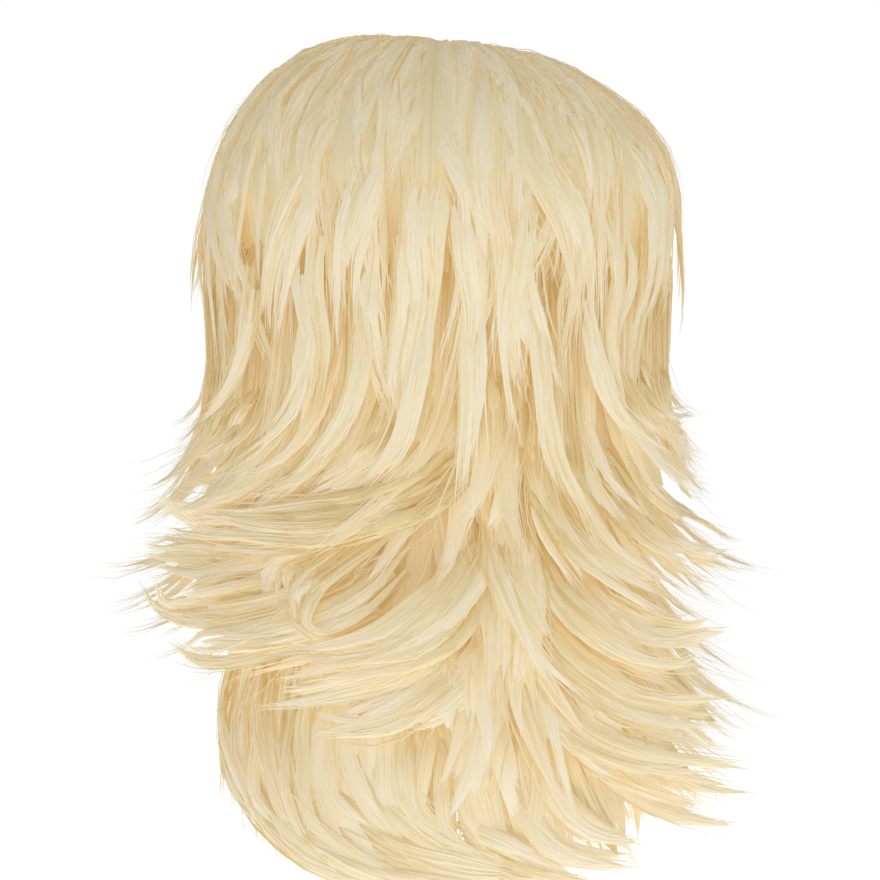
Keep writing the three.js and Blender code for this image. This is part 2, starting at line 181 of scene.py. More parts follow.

# Bands and wisps given one by one, as the camera sees them on the plane through the middle of the head:
# half width, then point after point along the band its x, z and rise off the layer, in millimetres.
BANDS = {
    "upper_tier": (
        (8, (84, -128, 1, 96, -152, 3, 108, -168, 7, 120, -176, 14)),
        (12, (52, -140, 1, 72, -172, 3, 93, -189, 6, 114, -196, 14, 139, -191, 36)),
        (11, (-23, -160, 1, 0, -188, 4, 28, -201, 5, 60, -208, 6, 92, -209, 10,
             119, -206, 18, 141, -195, 36)),
        (10, (10, -136, 1, 24, -170, 3, 50, -192, 4, 84, -203, 7)),
        (13, (-26, -96, 1, -29, -140, 2, -27, -180, 3, -13, -214, 5)),
        (13, (-47, -96, 1, -50, -150, 2, -57, -200, 4, -73, -234, 6)),
        (11, (-74, -112, 1, -90, -142, 3, -104, -160, 6, -121, -164, 18)),
        (12, (-62, -138, 1, -84, -186, 4, -114, -214, 12, -143, -222, 40)),
        (12, (-44, -140, 1, -50, -186, 4, -72, -222, 6, -104, -240, 10)),
    ),
    "middle_tier": (
        (11, (36, -188, 2, 66, -211, 5, 97, -219, 12, 122, -222, 24, 144, -218, 40)),
        (9, (18, -198, 2, 46, -226, 5, 86, -242, 10, 116, -246, 22, 130, -242, 32, 136, -231, 42)),
        (9, (8, -214, 2, 36, -244, 5, 76, -261, 9, 108, -266, 20, 128, -260, 32, 137, -248, 42)),
        (8, (21, -192, 6, 52, -212, 7, 75, -220, 9, 83, -233, 10, 81, -245, 9, 74, -252, 7)),
        (6, (11, -196, 7, 44, -221, 9, 62, -236, 11, 68, -249, 11, 64, -260, 11, 53, -263, 10)),
        (13, (-46, -170, 2, -54, -224, 5, -74, -252, 9, -99, -265, 15, -126, -264, 31, -143, -258, 47)),
        (12, (-26, -180, 2, -30, -222, 5, -42, -262, 8, -60, -290, 10)),
        (12, (-30, -176, 2, -18, -224, 4, 6, -257, 6, 44, -275, 8, 82, -274, 11)),
        (13, (-30, -180, 2, -32, -226, 4, -33, -262, 5, -28, -296, 6)),
    ),
    "lower_tier": (
        (12, (-27, -214, 2, -21, -258, 4, 2, -290, 6, 29, -303, 7, 56, -310, 8)),
        (12, (-16, -204, 2, -6, -236, 4, 16, -266, 6, 58, -281, 8, 88, -286, 13)),
        (13, (-40, -206, 2, -52, -256, 6, -80, -282, 10, -114, -294, 22, -150, -291, 52)),
        (13, (-38, -232, 2, -56, -290, 6, -92, -318, 13, -138, -323, 44)),
        (10, (46, -220, 2, 72, -250, 5, 96, -266, 11, 112, -272, 22)),
        (13, (-34, -226, 2, -38, -270, 4, -46, -308, 6, -60, -338, 7)),
        (13, (-16, -236, 2, -16, -280, 4, -12, -318, 5, 0, -348, 6)),
    ),
    "nape_hair": (
        (13, (-48, -250, 2, -70, -308, 6, -104, -334, 16, -141, -342, 42)),
        (13, (-22, -260, 2, -34, -320, 4, -60, -354, 6, -92, -366, 10)),
        (13, (74, -216, 1, 84, -262, 2, 91, -302, 3, 84, -340, 3, 60, -368, 3)),
        (13, (50, -240, 2, 62, -296, 3, 62, -334, 4, 50, -364, 4, 30, -384, 4)),
        (13, (18, -250, 2, 22, -300, 3, 20, -340, 4, 6, -384, 4)),
        (13, (68, -230, 2, 76, -280, 3, 78, -316, 3, 64, -348, 3, 36, -372, 3)),
        (15, (54, -236, 2, 60, -284, 3, 61, -318, 4, 50, -350, 4, 0, -378, 4)),
        (15, (24, -236, 2, 28, -284, 3, 28, -320, 4, 12, -356, 4, -30, -378, 4)),
        (15, (2, -240, 2, -4, -286, 3, -9, -320, 4, -18, -350, 4, -34, -372, 4)),
        (14, (-34, -240, 2, -40, -286, 3, -42, -322, 4, -46, -352, 4, -54, -372, 4)),
        (13, (-58, -244, 2, -72, -290, 3, -80, -322, 5, -88, -346, 6, -92, -360, 8)),
        (11, (90, -316, 3, 78, -346, 3, 52, -366, 3, 14, -378, 3, -18, -381, 3)),
        (10, (62, -346, 4, 34, -366, 4, -4, -378, 4, -40, -381, 4)),
        (10, (-6, -350, 4, -34, -368, 4, -64, -376, 5)),
    ),
    "crown_hair": (
        (6, (66, 8, 0, 74, -12, 0, 78, -32, 0, 77, -60, 0)),
        (7, (37, 7, 0, 52, -14, 0, 61, -34, 0, 60, -60, 0, 55, -86, 0)),
        (5, (24, 18, 0, 23, -3, 0, 24, -24, 0, 28, -50, 0)),
        (5, (14, 16, 0, 17, -9, 0, 24, -32, 0, 34, -58, 0)),
        (5, (1, -3, 0, -3, -26, 0, -12, -47, 0, -16, -67, 0, -17, -92, 0)),
        (7, (-20, 17, 0, -21, -16, 0, -19, -49, 0, -24, -80, 0, -20, -135, 0)),
        (6, (-52, 9, 0, -62, -16, 0, -70, -42, 0, -68, -76, 0)),
        (8, (-47, -9, 0, -44, -34, 0, -57, -60, 0, -67, -90, 0, -72, -124, 0)),
        (7, (4, -29, 0, 9, -62, 0, 7, -96, 0, 11, -134, 0)),
        (7, (24, -22, 0, 38, -56, 0, 47, -90, 0, 45, -132, 0)),
        (7, (54, -26, 0, 68, -58, 0, 79, -92, 0, 83, -130, 0)),
        (5.5, (27, -75, 0, 35, -98, 0, 32, -126, 0, 24, -152, 0)),
        (5.5, (-6, -42, 0, -11, -72, 0, -13, -110, 0, -9, -152, 0)),
        (5.5, (-32, -60, 0, -37, -98, 0, -46, -124, 0, -60, -150, 0)),
        (5.5, (60, -60, 0, 64, -95, 0, 60, -128, 0, 66, -160, 0)),
        (5, (-42, -44, 0, -34, -84, 0, -30, -120, 0, -38, -158, 0)),
        (5, (-76, -50, 0, -84, -86, 0, -80, -120, 0, -86, -150, 0)),
        (5, (18, -60, 0, 16, -100, 0, 22, -140, 0, 18, -166, 0)),
        (9, (-78, -12, 0, -94, -36, 0, -102, -67, 0, -98, -102, 0, -85, -132, 0)),
        (9, (84, -12, 0, 98, -36, 0, 103, -67, 0, 96, -98, 0, 83, -130, 0)),
        (4.2, (62, -84, 0, 64, -122, 1, 74, -152, 3, 96, -174, 6)),
        (4.2, (36, -90, 0, 38, -130, 1, 50, -164, 3, 76, -190, 6)),
        (4.2, (9, -96, 0, 12, -140, 1, 24, -174, 3, 48, -196, 5)),
        (4.2, (-13, -100, 0, -13, -150, 2, -8, -192, 4)),
        (4.2, (-42, -92, 0, -46, -140, 2, -54, -178, 4, -70, -204, 5)),
        (4.2, (-64, -90, 0, -74, -134, 2, -88, -160, 4, -108, -174, 8)),
        (4.2, (88, -80, 0, 93, -116, 1, 104, -144, 4, 120, -160, 10)),
    ),
}
# Bands: run past the last point; drift, shift and narrowing as shares of the half width; how their leaves
# start, end and surface; levels of these on the tiers and on the crown, paleness and width at the root.
BAND_LONGER = 0.3
BAND_DRIFT = (0.2, 0.2, 0.07)
BAND_SHIFT = 0.15
BAND_NARROWS = 0.6
BAND_START = 0.3
BAND_UNEVEN = 1.2
BAND_SUNK = (0.7, 1.3)
BAND_SURFACES = (0.3, 0.5)
BAND_LEVEL = ((0.2, 0.7), (0.55, 0.68))
BAND_HIGH = (0.4, 1.0)
BAND_ROOT = 0.12
# A band is drawn with this many times the steps of a path.
FINER = 4
# The camera's view of them: sine of the furthest azimuth, the crown's half width, rounds of the search on a
# sight line, share of a rise that turns a leaf aside, and steps on each side that steady an angle.
SIDE_SINE = 0.97
CROWN_SIDE = 122.0
SIGHT_ROUNDS = 16
RISE_TURNS = 0.4
STEADY = 3
# Leaves: reach of their row past the lock, length, and how their columns vary.
LEAF_REACH = 1.15
LEAF_LONGEST = 1.05
LEAF_SHORTER = 0.24
MOSTLY_LONG = 1.6
LEAN_VARIES = 2.5
BEND_VARIES = 0.06
SWEEP_VARIES = 0.13
TURN_VARIES = 4
FLICK_VARIES = (-0.04, 0.1)
FLICK_HELD = (-0.25, 0.12)
WAVE_LENGTH = (80, 160)
# Their level in the layer and its drop at the lock's edges, width, section, and width at the root.
LEAF_LEVEL = 0.5
EDGE_DROP = 0.08
LEAF_WIDE = (1.6, 2.6)
PALE_NARROWER = (1.3, 0.5)
MOSTLY_DEEP = 1.4
LEAF_SIDES = 6
LEAF_RINGS = 13
LEAF_TOP = 0.14
LEAF_UNDER = 0.1
LEAF_END = 0.93
LEAF_THIN = 0.3
LEAF_SETTLE = 0.45
TIP_LEVEL = 0.6
LOCK_ROOT = 0.45
WIDE_FROM = 0.35
# The core of a lock: half depth, width over the lock's, where it narrows, how late and how far.
CORE_DEEP = 0.13
CORE_WIDE = 1.06
CORE_TAPER = 0.6
CORE_POINT = 1.7
CORE_TIP = 0.97
# The map: heights of cores and leaves, what parts them, the strip under a root, and margins.
CORE_MAP = (0.01, 0.28)
LEAF_MAP = (0.3, 0.99)
MAP_PARTED = 0.29
ROOT_MAP = 0.01
LEAF_MARGIN = 0.04
STRAND_MARGIN = 0.15
END_MARGIN = 0.01
# The crown's leaves: spread of their starts, loss of length, gain at the sides, least length, latest bend,
# lean of the pale ones and turn to the back.
CROWN_STARTS = 45
CROWN_SHORTER = 0.42
CROWN_SIDES = (-0.3, 0.08)
CROWN_SHORTEST = 70
CROWN_BEND = 0.62
CROWN_LEAN = 6
SWEPT_BACK = 50.0
# Strands: stations along them, half width and section, where they thin and to what share, and their length.
STATIONS = np.array((0, 0.22, 0.42, 0.59, 0.73, 0.85, 0.94, 1.0))
STRAND_RADIUS = 0.48
STRAND_VARIES = (0.7, 1.2)
STRAND_SECTION = np.array(((1, 0), (0, 0.6), (-1, 0)))
STRAND_TILT = 0.25
OUTWARD = 0.2
STRAND_THINS = 0.55
TIP_SHARE = 0.25
STRAND_SHORTER = 0.26
STRAND_REACH = 1.05
STRAND_LEAST = 0.08
# Their fine wave, spread at the tip, the few that drift and rise, and those between leaves.
FRIZZ = (0.1, 0.5)
FRIZZ_LENGTH = (30, 70)
TIP_SPLAY = 1.6
DRIFT_SHARE = 0.03
DRIFT = 5
DRIFT_RISE = 0.7
UNDER_LIE = -0.05
BETWEEN_LEVEL = (0.46, 0.7)
FLY_RISE = (0.05, 0.3)
# Their tints: how many, paleness between leaves and on the deepest leaf, warmer as painted shade,
# gained on the palest as a painted highlight, and its spread.
TINTS = 64
BETWEEN_PALE = 0.24
DEEP_PALE = 0.34
PALE_GAIN = 0.52
WARM_LOSS = 0.8
STRAND_TINT = 0.09
# Faces that meet within this angle are shaded as one rounded surface.
ROUND_TO = 50
SEED = 20261


def smooth(value):
    """Eased step: 3t^2 - 2t^3 of the value held between 0 and 1."""
    t = np.clip(value, 0, 1)
    return t * t * (3 - 2 * t)


def cap_radius(az):
    """Radius of the cap's ellipse at an azimuth."""
    a = np.radians(az)
    return 1 / np.hypot(np.sin(a) / CAP_HALF_X, np.cos(a) / CAP_HALF_Y)


def flare(run):
    """Outward spread over the shoulders, eased in below the cap."""
    return FLARE * smooth((run - QUARTER - FLARE_START) / FLARE_RUN)


def form(az, run, lift):
    """Hair space to the frame: a quarter ellipse over the dome, then straight down with a slight waist."""
    angle = np.clip(run / QUARTER, 0, 1) * np.pi / 2
    drop = np.maximum(run - QUARTER, 0)
    waist = WAIST * np.sin(np.pi * np.minimum(drop / WAIST_RUN, 1)) ** 2
    radius = (cap_radius(az) + lift) * np.sin(angle) - waist
    z = CAP_CENTRE_Z + (CAP_HALF_Z + lift) * np.cos(angle) - drop
    a = np.radians(az)
    return np.stack([radius * np.sin(a), radius * np.cos(a), z], -1)


def room(layer, az, run):
    """Space that a layer takes over the cap: its thickness and gap, inside its arc and below its root."""
    spec = LAYERS[layer]
    off = np.abs((az - spec["middle"] + 180) % 360 - 180)
    in_arc = 1 - smooth((off - spec["reach"]) / FADE)
    climbed = np.clip((run - spec["root"] + RAMP + LEAD) / RAMP, 0, 1)
    return (spec["thick"] + spec["gap"]) * in_arc * climbed


def stack(layer, az, run):
    """Lift of a layer's underside: the sum of the layers below it, with the flare."""
    return SEAT + sum(room(under, az, run) for under in range(layer)) + flare(run)


def crown_top(az, run):
    """Outer lift of the crown: a profile by run, fuller at the back and on one side, flatter in front."""
    a = np.radians(az)
    rear = REAR[0] * np.maximum(np.cos(a), 0) ** 2 * smooth((run - REAR[1]) / REAR[2])
    front = FRONT[0] * np.maximum(-np.cos(a), 0) ** 2 * smooth((run - FRONT[1]) / FRONT[2])
    side = SIDE[0] * np.sin(a) * smooth(run / SIDE[2]) * smooth((SIDE[1] - run) / SIDE[2])
    return np.interp(run, TOP_RUN, TOP_LIFT) + rear - front + side


def seat_of(layer, az, run):
    """Lift of the underside of a layer's locks, and their thickness."""
    under = stack(layer, az, run) + CLEAR
    thick = LAYERS[layer]["thick"] - CLEAR
    if layer != CROWN:
        return under, thick
    top = crown_top(az, run)
    low = np.maximum(under, top - thick)
    return low, np.maximum(top - low, CROWN_THINNEST)


def vary(layer, index, what):
    """A fixed number from -1 to 1 for each lock: the fraction of a large sine."""
    wave = np.sin(12.9898 * (index + 1) + 78.233 * (layer + 1) + 37.719 * what) * 43758.5453
    return 2 * (wave - np.floor(wave)) - 1


def read_columns(table, az):
    """A lock table's columns at azimuths, between its rows by proportion."""
    return {name: np.interp(az, table[:, 0], table[:, i]) for i, name in enumerate(COLUMNS)}


def lock_rows(layer):
    """The locks of a layer, evenly spaced in azimuth, with their columns read from the table."""
    spec = LAYERS[layer]
    table = np.array(spec["locks"], float)
    first, last = table[0, 0], table[-1, 0]
    ring = last - first >= 360
    spacing = (last - first) / (spec["count"] if ring else spec["count"] - 1)
    index = np.arange(spec["count"])
    az = first + spacing * index
    rows = read_columns(table, az)
    rows["length"] *= 1 + LENGTH_UNEVEN * vary(layer, index, 1)
    rows["lean"] += LEAN_UNEVEN * vary(layer, index, 2)
    rows["sweep"] *= 1 + TURN_UNEVEN * vary(layer, index, 3)
    rows["flick"] *= 1 + TURN_UNEVEN * vary(layer, index, 4)
    rows["half"] = np.full(len(az), math.radians(spacing) * COMB * spec["cover"] / 2)
    rows["root"] = np.full(len(az), float(spec["root"]))
    return rows


def comb(rows, pull=None, wave=None):
    """Paths in hair space: heading and pitch turn from the bend on, and stepping along them gives the path.

    pull turns a path to its lock's middle near the tip. wave is (degrees, length, phase) of an S-curve.
    """
    t = np.linspace(0, 1, STEPS + 1)[None]
    length = rows["length"][:, None]
    bend = rows["bend"][:, None]
    along = t * length
    turn = np.maximum((along - bend) / (length - bend), 0) ** TURN_EASE
    head = np.radians(rows["lean"][:, None] + rows["sweep"][:, None] * turn)
    if pull is not None:
        head = head - np.radians(pull[:, None]) * smooth((t - PULL_FROM) / (1 - PULL_FROM))
    if wave is not None:
        swing, size, phase = (column[:, None] for column in wave)
        head = head + np.radians(swing) * np.sin(2 * np.pi * along / size + phase) * smooth(t / WAVE_GROWN)
    pitch = np.radians(rows["flick"][:, None] * turn)
    step = length / STEPS
    moving = np.ones_like(t)
    moving[:, 0] = 0
    az = rows["az"][:, None] + np.degrees(np.cumsum(moving * np.sin(head) * np.cos(pitch) * step / COMB, 1))
    run = rows["root"][:, None] + np.cumsum(moving * np.cos(head) * np.cos(pitch) * step, 1)
    rise = np.cumsum(moving * np.sin(pitch) * step, 1)
    return dict(az=az, run=run, rise=rise, head=head, pitch=pitch)


def sample(path, owner, t):
    """Path values of each strand's owner at its own parameters t, between the steps by proportion."""
    place = np.clip(t, 0, 1) * STEPS
    low = np.minimum(place.astype(int), STEPS - 1)
    part = place - low
    rows = owner[:, None]
    return {key: (1 - part) * grid[rows, low] + part * grid[rows, low + 1] for key, grid in path.items()}


def lay(layer, at, across, up):
    """Points beside a path: across it in millimetres and up through the layer's thickness, in the frame."""
    az = at["az"] + np.degrees(across * np.cos(at["head"]) / COMB)
    run = at["run"] - across * np.sin(at["head"])
    under, thick = seat_of(layer, az, run)
    tall = up * thick
    back = tall * np.sin(at["pitch"])
    return form(
        az - np.degrees(back * np.sin(at["head"]) / COMB),
        run - back * np.cos(at["head"]),
        under + at["rise"] + tall * np.cos(at["pitch"]),
    )


def unit(vectors):
    """Vectors scaled to length one."""
    return vectors / np.maximum(np.linalg.norm(vectors, axis=-1, keepdims=True), 1e-9)


def new_piece(name, points, corners, sizes, uv, material):
    """A piece of hair from whole arrays: points in millimetres, corners and sizes of faces, map."""
    mesh = bpy.data.meshes.new(name)
    mesh.vertices.add(len(points))
    mesh.vertices.foreach_set("co", (points * MM).astype(np.float32).ravel())
    mesh.loops.add(len(corners))
    mesh.loops.foreach_set("vertex_index", corners.astype(np.int32))
    starts = np.concatenate([[0], np.cumsum(sizes)[:-1]]).astype(np.int32)
    mesh.polygons.add(len(sizes))
    mesh.polygons.foreach_set("loop_start", starts)
    mesh.polygons.foreach_set("use_smooth", np.ones(len(sizes), bool))
    mesh.update(calc_edges=True)
    mesh.set_sharp_from_angle(angle=math.radians(ROUND_TO))
    layer = mesh.uv_layers.new(name=UV_MAP)
    layer.uv.foreach_set("vector", uv.astype(np.float32).ravel())
    mesh.materials.append(material)
    mesh.validate()
    piece = bpy.data.objects.new(name, mesh)
    bpy.context.scene.collection.objects.link(piece)
    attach(piece, BODY)
    return piece


def tube(rings, sides):
    """Ring and side of a tube's corners: quads between rings, a fan to the tip, one face at the root."""
    i, j = np.meshgrid(np.arange(rings - 1), np.arange(sides), indexing="ij")
    side = np.arange(sides)
    last = np.full((sides, 1), rings - 1)
    ring = (i[..., None] + (0, 0, 1, 1), last + (0, 0, 1), 0 * side)
    place = (j[..., None] + (0, 1, 1, 0), side[:, None] + (0, 1, 0.5), side[::-1])
    return tuple(np.concatenate([part.ravel() for part in parts]) for parts in (ring, place))


def tube_faces(count, rings, sides):
    """Corners and sizes of the faces of many tubes, each with the points of its rings and then its tip."""
    ring, place = tube(rings, sides)
    tip = rings * sides
    corners = np.where(ring == rings, tip, ring * sides + place % sides).astype(int)
    sizes = np.repeat((4, 3, sides), ((rings - 1) * sides, sides, 1))
    return (corners[None] + (tip + 1) * np.arange(count)[:, None]).ravel(), np.tile(sizes, count)


def tube_map(rings, sides, t):
    """Map of one tube for its corners: place round the tube (0 to 1) and along it."""
    ring, place = tube(rings, sides)
    along = t[ring]
    along[-sides:] += ROOT_MAP * (np.arange(sides) % 2)
    return place / sides, along


def tubes(name, centre, radius, outward, tilt, tint, material):
    """Strands: a flat-topped triangle carried along each path, its flat outwards, closed and pointed."""
    count, rings = centre.shape[0], centre.shape[1] - 1
    tangent = unit(np.gradient(centre, axis=1))
    aside = unit(np.cross(tangent, outward))[:, :-1, None, :]
    inward = np.cross(tangent[:, :-1, None, :], aside)
    turned = tilt[:, None] + np.arctan2(STRAND_SECTION[:, 1], STRAND_SECTION[:, 0])[None]
    reach = np.hypot(STRAND_SECTION[:, 0], STRAND_SECTION[:, 1])[None]
    across = (reach * np.cos(turned))[:, None, :, None]
    deep = (reach * np.sin(turned))[:, None, :, None]
    ring = centre[:, :-1, None, :] + radius[:, :-1, None, None] * (across * aside + deep * inward)
    points = np.concatenate([ring.reshape(count, rings * 3, 3), centre[:, -1:, :]], 1).reshape(-1, 3)
    corners, sizes = tube_faces(count, rings, 3)
    round_, along = tube_map(rings, 3, STATIONS)
    u = (tint[:, None] + STRAND_MARGIN + (1 - 2 * STRAND_MARGIN) * round_[None]) / TINTS
    v = np.broadcast_to(END_MARGIN + (1 - 2 * END_MARGIN) * along[None], u.shape)
    new_piece(name, points, corners, sizes, np.stack([u, v], -1).reshape(-1, 2), material)


def leaf_width(t, taper, root, point):
    """Share of a leaf's full width: from its root's share up to the full width, then in to a point."""
    widens = root + (1 - root) * smooth(t / WIDE_FROM)
    return widens * (1 - np.clip((t - taper) / (1 - taper), 0, 1) ** point)


def split_locks(layer, rng):
    """Leaves: each lock split across its width, with columns read at the leaf's azimuth and varied."""
    spec = LAYERS[layer]
    made = COMBED[spec["name"]]
    per, stray = made["leaves"], made["stray"]
    locks = lock_rows(layer)
    lock = np.repeat(np.arange(len(locks["az"])), per)
    count = len(lock)
    share = (np.tile(np.arange(per), len(locks["az"])) + rng.uniform(0, 1, count)) / per
    place = LEAF_REACH * (2 * share - 1)
    half = locks["half"][lock]
    az = locks["az"][lock] + np.degrees(place * half / COMB)
    rows = read_columns(np.array(spec["locks"], float), az)
    rows["az"] = az
    rows["root"] = np.full(count, float(spec["root"]))
    lost = LEAF_SHORTER * stray * rng.uniform(0, 1, count) ** MOSTLY_LONG
    rows["length"] *= LEAF_LONGEST - lost
    rows["lean"] += stray * rng.normal(0, LEAN_VARIES, count)
    rows["bend"] *= 1 + stray * rng.normal(0, BEND_VARIES, count)
    rows["sweep"] *= 1 + stray * rng.normal(0, SWEEP_VARIES, count)
    rows["sweep"] += stray * rng.normal(0, TURN_VARIES, count)
    rows["flick"] *= 1 + stray * rng.normal(*FLICK_VARIES, count).clip(*FLICK_HELD)
    # A leaf's share high lifts it and makes it paler: painted highlight on top, painted shade lower down.
    high = rng.uniform(0, 1, count) ** MOSTLY_DEEP
    if layer == CROWN:
        aside = np.sin(np.radians(az))
        start = 1 + CROWN_STARTS * rng.uniform(0, 1, count) ** 3
        longer = 1 + aside ** 2 * rng.uniform(*CROWN_SIDES, count)
        kept = 1 - CROWN_SHORTER * rng.uniform(0, 1, count) ** MOSTLY_LONG
        rows["length"] = rows["length"] * longer * kept - (start - rows["root"])
        rows["length"] = np.maximum(rows["length"], CROWN_SHORTEST)
        rows["bend"] = np.minimum(rows["bend"], CROWN_BEND * rows["length"])
        rows["lean"] += rng.normal(0, CROWN_LEAN, count) * high
        rows["sweep"] -= SWEPT_BACK * aside
        rows["root"] = start
    level = LEAF_LEVEL + made["proud"] * high - EDGE_DROP * np.abs(place) ** 2
    swing = made["wave"] * rng.normal(0, 1, count)
    wave = (swing, rng.uniform(*WAVE_LENGTH, count), rng.uniform(0, 2 * np.pi, count))
    wide = half / per * rng.uniform(*LEAF_WIDE, count) * (PALE_NARROWER[0] - PALE_NARROWER[1] * high)
    path = comb(rows, made["pull"] * place, wave)
    root = np.full(count, LOCK_ROOT)
    return dict(path=path, level=level, high=high, wide=wide, length=rows["length"], root=root)


def through(points, count):
    """A soft curve through points: each span a cubic that leaves a point along its neighbours' chord."""
    ends = np.concatenate([2 * points[:1] - points[1:2], points, 2 * points[-1:] - points[-2:-1]])
    place = np.linspace(0, len(points) - 1, count)
    span = np.minimum(place.astype(int), len(points) - 2)
    t = (place - span)[:, None]
    before, start, stop, after = (ends[span + i] for i in range(4))
    bend = 2 * before - 5 * start + 4 * stop - after
    twist = 3 * start - before - 3 * stop + after
    return 0.5 * (2 * start + (stop - before) * t + bend * t ** 2 + twist * t ** 3)


def hand_combed(layer, rng):
    """Leaves along the listed bands, each moved aside within its band and varied a little.

    The crown's bands narrow towards its sides, where the camera sees them aslant.
    """
    name = LAYERS[layer]["name"]
    made = COMBED[name]
    along = np.linspace(0, 1, STEPS + 1)
    curves = []
    wides = []
    for full, points in BANDS[name]:
        middle = np.reshape(points, (-1, 3)).astype(float)
        half = np.full((len(middle), 1), full)
        if layer == CROWN:
            half = full * np.sqrt(1 - (middle[:, :1] / CROWN_SIDE) ** 2)
        narrows = np.linspace(1, BAND_NARROWS, len(middle))[:, None]
        for shift in np.linspace(-1, 1, made["bands"]):
            moved = middle + rng.normal(0, BAND_DRIFT, middle.shape) * half
            step = unit(np.gradient(moved[:, :2], axis=0))
            aside = np.stack([-step[:, 1], step[:, 0]], -1)
            moved[:, :2] += (shift + rng.uniform(-BAND_SHIFT, BAND_SHIFT)) * half * narrows * aside
            moved[-1] += BAND_LONGER * (moved[-1] - moved[-2])
            whole = through(moved, FINER * STEPS + 1)
            first = rng.uniform(0, BAND_START)
            last = 1 - made["uneven"] * rng.uniform(0, 1) ** BAND_UNEVEN
            picked = np.linspace(first, last, STEPS + 1) * FINER * STEPS
            curve = whole[np.round(picked).astype(int)]
            sunk = made["sunk"] * rng.uniform(*BAND_SUNK)
            curve[:, 2] -= sunk * (1 - smooth(along / rng.uniform(*BAND_SURFACES)))
            curves.append(curve)
            wides.append(full * rng.uniform(*made["broad"]))
    path = seen_path(layer, np.array(curves))
    count = len(wides)
    steps = [np.gradient(path[key], axis=1) for key in ("az", "run", "rise")]
    length = np.sqrt((np.radians(steps[0]) * COMB) ** 2 + steps[1] ** 2 + steps[2] ** 2).sum(1)
    level = rng.uniform(*BAND_LEVEL[layer == CROWN], count)
    high = rng.uniform(*BAND_HIGH, count)
    root = np.full(count, BAND_ROOT)
    return dict(path=path, level=level, high=high, wide=np.array(wides), length=length, root=root)


def seen_path(layer, curves):
    """Paths in hair space of curves seen by the camera: each point runs along its sight line to the layer.

    Height gives the run over the dome or down the straight part, and x over the radius there gives the
    azimuth. Where x reaches past the side, the rise makes up the rest, except on the crown.
    """
    x, z, rise = np.moveaxis(curves, -1, 0)
    az = np.zeros_like(x)
    run = QUARTER + CAP_CENTRE_Z - z
    near = np.ones_like(x)
    for _ in range(SIGHT_ROUNDS):
        under, _thick = seat_of(layer, az, run)
        height = CAMERA_Z / MM + (z - CAMERA_Z / MM) * near - CAP_CENTRE_Z
        dome = np.arccos(np.clip(height / (CAP_HALF_Z + under + rise), 0, 1)) * 2 / np.pi * QUARTER
        run = np.where(height > 0, dome, QUARTER - height)
        girth = np.sin(np.minimum(run / QUARTER, 1) * np.pi / 2)
        if layer != CROWN:
            rise = np.maximum(rise, np.abs(x * near) / SIDE_SINE - cap_radius(az) - under)
        radius = (cap_radius(az) + under + rise) * girth
        az = np.degrees(np.arcsin(np.clip(x * near / np.maximum(radius, 1), -SIDE_SINE, SIDE_SINE)))
        near = 1 - radius * np.cos(np.radians(az)) * MM / CAMERA_DISTANCE
    aside = np.gradient(np.radians(az), axis=1) * COMB
    down = np.gradient(run, axis=1)
    out = np.gradient(rise, axis=1)
    head = steady(np.unwrap(np.arctan2(aside + RISE_TURNS * np.abs(out) * np.sign(x), down), axis=1))
    return dict(az=az, run=run, rise=rise, head=head, pitch=steady(np.arctan2(out, np.hypot(aside, down))))


def steady(angle):
    """Angles along paths, each the mean of its neighbourhood."""
    wide = np.pad(angle, ((0, 0), (STEADY, STEADY)), mode="edge")
    return np.mean([wide[:, i:i + angle.shape[1]] for i in range(2 * STEADY + 1)], axis=0)


def by_tint(sets):
    """Sets of leaves as one, the deepest and warmest first."""
    order = np.argsort(np.concatenate([leaves["high"] for leaves in sets]))
    joined = {
        key: np.concatenate([leaves[key] for leaves in sets])[order]
        for key in ("level", "high", "wide", "length", "root")
    }
    path = {key: np.concatenate([leaves["path"][key] for leaves in sets])[order] for key in sets[0]["path"]}
    return dict(joined, path=path, count=len(order))


def thickness(width):
    """A leaf's thickness, and how far it stands up, as shares of the full ones, from its share of width."""
    deep = LEAF_THIN + (1 - LEAF_THIN) * width
    return deep, LEAF_SETTLE + (1 - LEAF_SETTLE) * deep


def lofts(layer, path, wide, base, section, t, width):
    """Closed bodies: a section (across, up) scaled by a width along t and carried along each path."""
    count = len(wide)
    rings = len(t) - 1
    at = sample(path, np.arange(count), np.broadcast_to(t, (count, rings + 1)))
    grid = {key: value[:, :-1, None] for key, value in at.items()}
    across = wide[:, None, None] * width[:, :-1, None] * section[:, 0]
    deep, stand = thickness(width[:, :-1, None])
    up = base[:, None, None] * stand + section[:, 1] * deep
    skin = lay(layer, grid, across, up).reshape(count, -1, 3)
    end = {key: value[:, -1:] for key, value in at.items()}
    tip = lay(layer, end, np.zeros((count, 1)), TIP_LEVEL * base[:, None])
    return np.concatenate([skin, tip], 1).reshape(-1, 3)


def loft_map(count, rings, sides, t, low, high):
    """Map of a row of lofts: a strip for each, side by side, between two heights."""
    round_, along = tube_map(rings, sides, t / t[-1])
    u = (np.arange(count)[:, None] + LEAF_MARGIN + (1 - 2 * LEAF_MARGIN) * round_[None]) / count
    v = np.broadcast_to(low + (high - low) * along[None], u.shape)
    return np.stack([u, v], -1).reshape(-1, 2)


